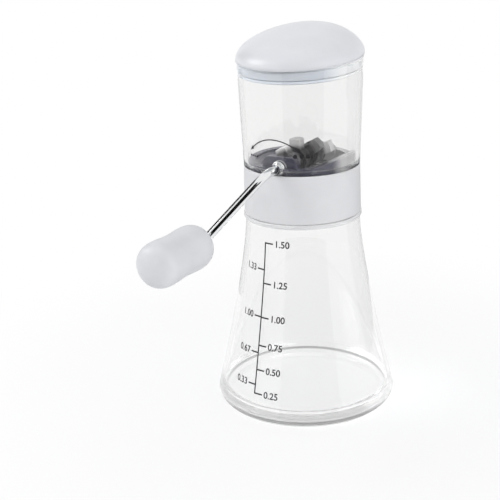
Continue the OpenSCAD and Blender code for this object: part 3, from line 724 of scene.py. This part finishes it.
def makeLid():
    # inner cap, underside, a quarter circle at the lower edge, and outer cap; the quarter circle runs
    # from its top down, so the skin folds over itself there within the roll's radius
    s = lidSizes
    around = np.linspace(0, 2 * np.pi, s["sides"], endpoint=False)
    up = np.linspace(0, np.pi / 2, s["rows"])[:-1]
    inR = s["outR"] - s["wall"]
    outer = domeRings(s["outR"], s["high"], s["lean"], up, around)
    inner = domeRings(inR, s["high"] - s["wall"], s["lean"] * inR / s["outR"], up, around)

    def flatRing(r, drop):
        return domeRings(r, 0.0, 0.0, np.zeros(1), around) - [0, 0, drop]

    edge = [flatRing(s["outR"] - s["roll"] * (1 - np.cos(turn)), s["edge"] - s["roll"] * (1 - np.sin(turn)))
            for turn in np.linspace(0, np.pi / 2, s["rollRows"])]
    skin = np.concatenate([inner[::-1], flatRing(inR, s["edge"]), *edge, outer])
    points, faces = sweepRings(skin)
    points = points + [0, 0, rimZ + s["seat"] + s["edge"]]
    addShell("lid_shell", (points, faces), s["crease"], paleLid, "lid", "lid_plastic", ["lid_dome"])
    print("lid: top", round(points[:, 2].max() / mm, 2))


makeLid()

linerSizes = dict(core=28.0 * mm, wall=1.6 * mm, top=0.8 * mm, deep=7.3 * mm, floor=5.6 * mm, sealTop=1.2 * mm,
                  sealFoot=5.2 * mm, groove=0.4 * mm, press=0.02 * mm, chamfer=1.0 * mm, sides=200, crease=40)


def makeLiner():
    # cup under the dome, parallel to the slanted rim; its soft seal and its foot press on the hopper's bore
    s = linerSizes

    def bore(depth, inset, fillet, lift=0.0):
        # corner on the bore at a depth below the rim, drawn in and lifted
        r = hopperRadius(rimZ - depth) - hopperSizes["wall"] + s["press"] - inset
        return r, rimZ - depth + lift, fillet

    core, inside, lip, deep = s["core"], s["core"] - s["wall"], s["sealFoot"] + s["groove"], s["deep"]
    cup = [(0, rimZ - s["floor"], 0), (inside, rimZ - s["floor"], 0.5 * mm),
           (inside, rimZ + s["top"], 0.2 * mm), (core, rimZ + s["top"], 0.2 * mm),
           (core, rimZ - lip, 0), bore(lip, 0, 0.1 * mm),
           bore(deep, 0, 0.2 * mm, s["chamfer"] / 2), bore(deep, s["chamfer"], 0.3 * mm), (0, rimZ - deep, 0)]
    band = [(core + s["press"], rimZ - s["sealFoot"], 0.2 * mm), bore(s["sealFoot"], 0, 0.3 * mm),
            bore(s["sealTop"], 0, 0.3 * mm), (core + s["press"], rimZ - s["sealTop"], 0.2 * mm)]
    for name, corners, closed, material, slot, node in (
            ("liner_lid", cup, False, blueLiner, "liner_plastic", "lid_liner"),
            ("seal_lid", band, True, lidRubber, "seal_rubber", "lid_seal")):
        points, faces = revolve(rounded(corners, 4, closed), s["sides"])
        addShell(name, (slanted(points), faces), s["crease"], material, "lid", slot, [node])
    print("liner: depth", round(deep / mm, 2))


makeLiner()


# crank

def crankAxes():
    # unit vectors out along the shaft, along the crank's arm and square to both, and the arm's length
    out = np.array([0, -1.0, 0])
    arm = gripPos - shaftPos
    arm[1] = 0
    throw = np.linalg.norm(arm)
    arm /= throw
    return out, arm, np.cross(out, arm), throw


rodSizes = dict(radius=2.2 * mm, bend1=37.5 * mm, bend2=59.8 * mm, bendR1=12 * mm, bendR2=4.5 * mm,
                chamfer=0.5 * mm, bendRows=25, armRows=14, runRows=12, crease=40)


def makeRod():
    # round bar along shaft, bend, arm, bend and pin; a bend is cut back by its radius * tan(turn / 2)
    s = rodSizes
    out, arm, side, throw = crankAxes()
    turn = math.atan2(throw, s["bend2"] - s["bend1"])
    cut1, cut2 = s["bendR1"] * math.tan(turn / 2), s["bendR2"] * math.tan(turn / 2)
    a = np.linspace(0, turn, s["bendRows"])
    b = a[::-1]
    first = np.c_[s["bend1"] - cut1 + s["bendR1"] * np.sin(a), s["bendR1"] * (1 - np.cos(a))]
    last = np.c_[s["bend2"] + cut2 - s["bendR2"] * np.sin(b), throw - s["bendR2"] * (1 - np.cos(b))]
    between = first[-1] + np.outer(np.linspace(0, 1, s["armRows"])[1:-1], last[0] - first[-1])
    tail, tip, c, n = -rodHigh[1], -rodLow[1], s["chamfer"], s["runRows"]
    shaft = np.c_[np.linspace(tail + 2 * c, first[0, 0], n)[:-1], np.zeros(n - 1)]
    pin = np.c_[np.linspace(last[-1, 0], tip - 2 * c, n)[1:], np.full(n - 1, throw)]
    flat = np.concatenate([[[tail, 0], [tail + c, 0]], shaft, first, between, last, pin,
                           [[tip - c, throw], [tip, throw]]])
    path = np.outer(flat[:, 0], out) + np.outer(flat[:, 1], arm) + [0, 0, shaftPos[2]]
    radius = np.full(len(path), s["radius"])
    radius[[0, -1]] -= c
    addShell("crank_chrome", tube(path, side, radius), s["crease"], chromeRod, "crank", "chrome", ["crank_rod"])
    print("crank: throw", round(throw / mm, 2))


makeRod()

gripSizes = dict(waist=0.05, waistSpan=0.33, end=8.0, bush=4.24 * mm, bushDeep=14.2 * mm, pin=2.6 * mm,
                 pinDeep=34.6 * mm, mouth=0.3 * mm, mouthOut=0.1 * mm, mouthEdge=0.08 * mm, rows=90, sides=128,
                 crease=50)


def makeGrip():
    # radius along the length: a squared-off oval with a shallow waist in its middle
    s = gripSizes
    half = (gripHigh[1] - gripLow[1]) / 2
    reach = (gripHigh[0] - gripLow[0]) / 2
    t = np.sin(np.linspace(-np.pi / 2, np.pi / 2, s["rows"]))
    waist = 1 - s["waist"] * np.exp(-(t / s["waistSpan"]) ** 2)
    r = np.sqrt(np.clip(1 - np.abs(t) ** s["end"], 0, None)) * waist
    r *= reach / r.max()
    skin = np.c_[r, half * (t + 1)]
    skin = skin[(skin[:, 0] > s["bush"] + s["mouth"]) | (t > 0)]
    bore = [[0, s["pinDeep"]], [s["pin"], s["pinDeep"]], [s["pin"], s["bushDeep"]], [s["bush"], s["bushDeep"]],
            [s["bush"], skin[0, 1] + s["mouth"]], [s["bush"] + s["mouthOut"], skin[0, 1] + s["mouthEdge"]]]
    points, faces = revolve(np.concatenate([bore, skin]), s["sides"])
    turned = np.stack([points[:, 0], -points[:, 2], points[:, 1]], -1) + [gripPos[0], gripHigh[1], gripPos[2]]
    addShell("grip_pale", outward(turned, faces), s["crease"], paleGrip, "grip", "grip_plastic", ["grip"])
    print("grip: length", round(2 * half / mm, 2))


makeGrip()


# rotor

# each wheel's tone is painted light and shade: the same cast metal made lighter or darker wheel by wheel
wheelSizes = dict(tipR=11.2 * mm, firstR=8.8 * mm, rootR=6 * mm, hubR=4.4 * mm, thick=5 * mm, pitch=9.2 * mm,
                  tines=2, tineWide=5.8 * mm, turn=150.0, step=22.0, pairStep=69.0, tipRound=0.15 * mm,
                  rootRound=0.7 * mm, bevel=0.2 * mm, play=0.04 * mm, gapRows=6, hubSides=48, crease=30,
                  paintedLightTones=(0.72, 0.45, 0.19, 0.54))


def starOutline(tipR):
    # round root with tines of even width; each corner sits where a tine's side meets a circle
    s = wheelSizes
    half = s["tineWide"] / 2
    foot, tip = math.asin(half / s["rootR"]), math.asin(half / tipR)
    gap = 2 * np.pi / s["tines"] - 2 * foot
    corners = []
    for j in range(s["tines"]):
        a = j * 2 * np.pi / s["tines"]
        stops = [(s["rootR"], -foot, s["rootRound"]), (tipR, -tip, s["tipRound"]), (tipR, 0.0, 0.0),
                 (tipR, tip, s["tipRound"]), (s["rootR"], foot, s["rootRound"])]
        stops += [(s["rootR"], foot + gap * k / s["gapRows"], 0.0) for k in range(1, s["gapRows"])]
        corners += [(r * math.cos(a + b), r * math.sin(a + b), f) for r, b, f in stops]
    return rounded(corners, 4)


def makeWheel(number):
    # star and hub as bevelled prisms, turned by the wheel's place in its pair and by the pair's place
    s = wheelSizes
    out, arm, side = crankAxes()[:3]
    b = s["bevel"]

    def bevelled(outline, half):
        return prism(outline, [-half, -half + b, half - b, half], [b, 0, 0, b])

    star = bevelled(starOutline(s["firstR"] if number == 1 else s["tipR"]), s["thick"] / 2)
    a = np.linspace(0, 2 * np.pi, s["hubSides"], endpoint=False)
    hub = bevelled(s["hubR"] * np.c_[np.cos(a), np.sin(a)], s["pitch"] / 2 - s["play"])
    points, faces = joinShells([star, hub])
    pair, second = divmod(number - 1, 2)
    turn = math.radians(s["turn"] - second * s["step"] - pair * s["pairStep"])
    c, d = math.cos(turn), math.sin(turn)
    x, y = c * points[:, [0]] - d * points[:, [1]], d * points[:, [0]] + c * points[:, [1]]
    # flat x turns to minus the side axis and flat y to the arm, as a quarter turn of the shaft's frame does
    along = (2.5 - number) * s["pitch"]
    placed = points[:, [2]] * out + y * arm - x * side + along * out + [0, 0, shaftPos[2]]
    addShell(f"star_{number}", outward(placed, faces), s["crease"],
             castMetal(f"cast wheel {number}", s["paintedLightTones"][number - 1]),
             "crank", "rotor_metal", [f"star_wheel_{number}"])


for number in range(1, 5):
    makeWheel(number)
print("rotor: 4 wheels")


# pieces that keep the solid's own shape, with softened edges

for node, name, material, body, slot, bevel in (
        ("tray", "tray_dark", darkTray, "head", "dark_plastic", 0.3 * mm),
        ("coarse_comb", "comb_coarse", combSteel, "head", "steel", 0.2 * mm),
        ("fine_comb", "comb_fine", combSteel, "head", "steel", 0.2 * mm),
        ("comb_screws", "screws_comb", combSteel, "head", "steel", 0.1 * mm),
        ("front_bush", "bush_front", plainBush, "head", "bush_plastic", 0.15 * mm),
        ("rear_bush", "bush_rear", plainBush, "head", "bush_plastic", 0.15 * mm),
        ("stop_ring", "ring_stop", chromeRod, "crank", "chrome", 0.25 * mm),
        ("rear_clip", "clip_rear", combSteel, "crank", "steel", 0.1 * mm),
        ("grip_clip", "clip_grip", combSteel, "crank", "steel", 0.1 * mm),
        ("grip_bush", "bush_grip", plainBush, "grip", "bush_plastic", 0.15 * mm),
        ("jar_seal", "seal_jar", sealRubber, "seal", "seal_rubber", 0.2 * mm)):
    finishedCopy(node, name, material, body, slot, bevel)
print("inner pieces done")


# floor, light and camera

stageSizes = dict(half=2.5, drop=0.05 * mm, floorColour=(0.94, 0.94, 0.945, 1), floorGlow=0.72, near=0.07,
                  far=0.26, white=(1, 1, 1, 1), world=(0.95, 0.965, 1.0, 1), worldLevel=0.45)
lamps = dict(  # place, aim, size, watts
    key=((-0.76, -0.40, 0.61), (0, 0, 0.10), 0.55, 4.6),
    fill=((1.00, -0.48, 0.56), (0, 0, 0.10), 0.9, 6.2),
    top=((0.05, 0.25, 0.95), (0, 0, 0.10), 0.8, 1.1))
cards = dict(  # dark and grey cards that only reflections see: place, turn about Z, width, height, tone
    left=((-0.45, -0.03, 0.43), 105, 0.6, 0.38, 0.01),
    right=((0.55, 0.42, 0.25), -40, 0.22, 0.9, 0.01),
    front=((0.18, -0.54, 0.36), -10, 0.46, 0.30, 0.01),
    low=((0.24, -0.32, 0.09), 25, 0.62, 0.18, 0.01),
    back=((-0.092, 0.155, 0.07), 31, 0.5, 0.14, 0.55),
    side=((0.104, 0.171, 0.07), -31, 0.22, 0.14, 0.35))


def whiteRays(w):
    # 1 for the kinds of ray that see a white backdrop
    white = 0.0
    for kind in ("Camera", "Glossy", "Transmission"):
        white = w.maths("MAXIMUM", w.node("ShaderNodeLightPath", output=f"Is {kind} Ray"), white)
    return white


def stagePlane(name, corners, material):
    mesh = bpy.data.meshes.new(name)
    mesh.from_pydata(corners.tolist(), [], [[0, 1, 2, 3]])
    mesh.materials.append(material)
    plane = linked(name, mesh)
    return plane


def makeFloor():
    # lit floor with the object's shadow near the foot, growing to plain white further off
    s = stageSizes
    material, w = newMaterial("floor")
    plain = w.node("ShaderNodeBsdfDiffuse", None, {"Color": s["floorColour"]})
    glow = w.node("ShaderNodeEmission", None, {"Color": s["white"]})
    fade = step(w, lengthOf(w, place(w)), s["near"], s["far"], s["floorGlow"])
    output(w, mixed(w, whiteRays(w) * fade, plain, glow))
    corners = s["half"] * np.array([[-1, -1, 0], [1, -1, 0], [1, 1, 0], [-1, 1, 0]])
    stagePlane("floor", corners - [0, 0, s["drop"]], material)


def makeCards():
    # upright rectangles turned about Z
    for name, (spot, turn, wide, high, tone) in cards.items():
        paint, w = newMaterial(f"card {name}")
        output(w, w.node("ShaderNodeBsdfDiffuse", None, {"Color": (tone, tone, tone, 1)}))
        flat = np.array([[-wide, 0, -high], [wide, 0, -high], [wide, 0, high], [-wide, 0, high]]) / 2
        c, d = math.cos(math.radians(turn)), math.sin(math.radians(turn))
        card = stagePlane(f"card_{name}", flat @ np.array([[c, d, 0], [-d, c, 0], [0, 0, 1]]) + spot, paint)
        card.visible_camera = card.visible_diffuse = card.visible_shadow = card.visible_transmission = False


def makeWorld():
    s = stageSizes
    world = bpy.data.worlds.new("studio")
    bpy.context.scene.world = world
    world.use_nodes = True
    world.node_tree.nodes.clear()
    w = Wire(world.node_tree, None)
    room = w.node("ShaderNodeBackground", None, {"Color": s["world"], "Strength": s["worldLevel"]})
    white = w.node("ShaderNodeBackground", None, {"Color": s["white"], "Strength": 1.0})
    w.node("ShaderNodeOutputWorld", None, {"Surface": mixed(w, whiteRays(w), room, white)})


def lookBack(back, upHint):
    # turn matrix whose Z is back and whose Y is as near as can be to the hint
    right = np.cross(upHint, back)
    right /= np.linalg.norm(right)
    up = np.cross(back, right)
    return Matrix(np.c_[right, up, back].tolist()).to_4x4()


def makeLamps():
    for name, (spot, aim, size, watts) in lamps.items():
        lamp = bpy.data.lights.new(name, "AREA")
        lamp.shape, lamp.size, lamp.energy = "DISK", size, watts
        holder = linked(name, lamp)
        back = np.array(spot) - np.array(aim)
        turn = lookBack(back / np.linalg.norm(back), np.array([0, 0, 1.0]))
        holder.matrix_world = Matrix.Translation(spot) @ turn
        holder.visible_glossy = name == "key"  # the other lamps leave no mirror image on the clear walls


cameraSizes = dict(far=0.521, high=0.257, round=27.7, pan=-3.07, pitch=18.63, roll=-2.06, lens=75.74,
                   sensor=36.0, nearest=0.01)


def makeCamera():
    # stands round the axis from the crank side, looks down by pitch, turned by pan and rolled
    s = cameraSizes
    away, pan, pitch, roll = (math.radians(s[key]) for key in ("round", "pan", "pitch", "roll"))
    look = away - pan
    ahead = np.array([-math.sin(look) * math.cos(pitch), math.cos(look) * math.cos(pitch), -math.sin(pitch)])
    right = np.array([math.cos(look), math.sin(look), 0])
    up = np.cross(right, ahead)
    rolled = -math.sin(roll) * right + math.cos(roll) * up
    data = bpy.data.cameras.new("camera")
    data.lens, data.sensor_width, data.clip_start = s["lens"], s["sensor"], s["nearest"]
    camera = linked("camera", data)
    spot = (s["far"] * math.sin(away), -s["far"] * math.cos(away), s["high"])
    camera.matrix_world = Matrix.Translation(spot) @ lookBack(-ahead, rolled)
    bpy.context.scene.camera = camera


makeFloor()
makeCards()
makeWorld()
makeLamps()
makeCamera()
bpy.context.scene.view_settings.view_transform = "Standard"
cycles = bpy.context.scene.cycles  # clear walls send light to and fro many times
cycles.max_bounces, cycles.glossy_bounces, cycles.transmission_bounces = 28, 20, 24
print("stage and camera done")
